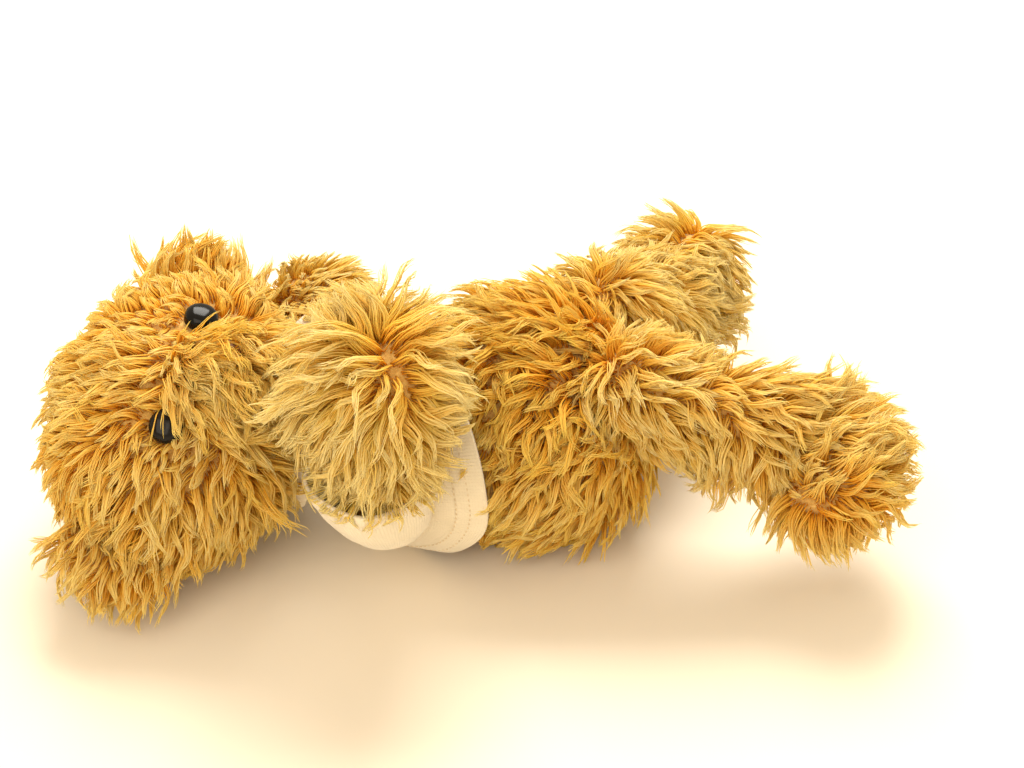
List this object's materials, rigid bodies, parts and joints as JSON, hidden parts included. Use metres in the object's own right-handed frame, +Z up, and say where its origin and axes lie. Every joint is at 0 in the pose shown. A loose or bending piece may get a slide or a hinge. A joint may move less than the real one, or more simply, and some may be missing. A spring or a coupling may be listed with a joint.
{
  "type": "plush keychain",
  "caption": "Small plush teddy bear in a knit T-shirt, lying on its back, with a tape loop and split ring at its nape.",
  "frame": {"origin": "the place on the table where the back of the T-shirt rests", "axes": "+Z up from the table, +X from the crown towards the feet, +Y the bear's left"},
  "size_m": [0.1482, 0.095, 0.058],
  "materials": {
    "plush_gold": "tousled long pile",
    "stuffing": "loose polyester fibre",
    "eye": "glossy",
    "washer": "moulded",
    "nose": "sewn satin stitch",
    "tshirt": "fine knit",
    "tape": "woven tape",
    "ring": "bright nickel"
  },
  "bodies": {
    "torso": {"neck_band": "tshirt", "shirt_back": "tshirt", "shirt_front": "tshirt", "torso_back_left": "plush_gold", "torso_back_right": "plush_gold", "torso_belly": "plush_gold", "torso_stuffing": "stuffing"},
    "head": {"ear_left_back": "plush_gold", "ear_left_front": "plush_gold", "ear_right_back": "plush_gold", "ear_right_front": "plush_gold", "eye_left": "eye", "eye_right": "eye", "eye_washer_left": "washer", "eye_washer_right": "washer", "hang_loop": "tape", "head_gusset": "plush_gold", "head_side_left": "plush_gold", "head_side_right": "plush_gold", "head_stuffing": "stuffing", "muzzle": "plush_gold", "muzzle_stuffing": "stuffing", "nose": "nose"},
    "ring": {"key_ring": "ring"},
    "arm_right": {"arm_right_lower": "plush_gold", "arm_right_stuffing": "stuffing", "arm_right_upper": "plush_gold", "sleeve_right": "tshirt"},
    "arm_left": {"arm_left_lower": "plush_gold", "arm_left_stuffing": "stuffing", "arm_left_upper": "plush_gold", "sleeve_left": "tshirt"},
    "leg_right": {"leg_right_inner": "plush_gold", "leg_right_outer": "plush_gold", "leg_right_sole": "plush_gold", "leg_right_stuffing": "stuffing"},
    "leg_left": {"leg_left_inner": "plush_gold", "leg_left_outer": "plush_gold", "leg_left_sole": "plush_gold", "leg_left_stuffing": "stuffing"}
  },
  "joints": [
    {"name": "head_turn", "type": "hinge", "parent": "torso", "child": "head", "pos_m": [-0.03178, 0.00083, 0.01888], "axis": [-0.9625, 0.151, 0.2253], "range_deg": [-10, 60]},
    {"name": "key_ring_swing", "type": "hinge", "parent": "head", "child": "ring", "pos_m": [-0.054, 0.0335, 0.0027], "axis": [0.9292, -0.3697, 0], "range_deg": [0, 70]},
    {"name": "arm_right_swing", "type": "hinge", "parent": "torso", "child": "arm_right", "pos_m": [-0.017, -0.021, 0.02], "axis": [1, 0, 0], "range_deg": [0, 70]},
    {"name": "arm_left_swing", "type": "hinge", "parent": "torso", "child": "arm_left", "pos_m": [-0.017, 0.021, 0.02], "axis": [1, 0, 0], "range_deg": [-10, 90]},
    {"name": "leg_right_swing", "type": "hinge", "parent": "torso", "child": "leg_right", "pos_m": [0.027, -0.0125, 0.035], "axis": [-0.2294, -0.9733, 0], "range_deg": [-8, 50]},
    {"name": "leg_left_swing", "type": "hinge", "parent": "torso", "child": "leg_left", "pos_m": [0.027, 0.0125, 0.035], "axis": [0.8317, -0.5552, 0], "range_deg": [-8, 50]}
  ]
}
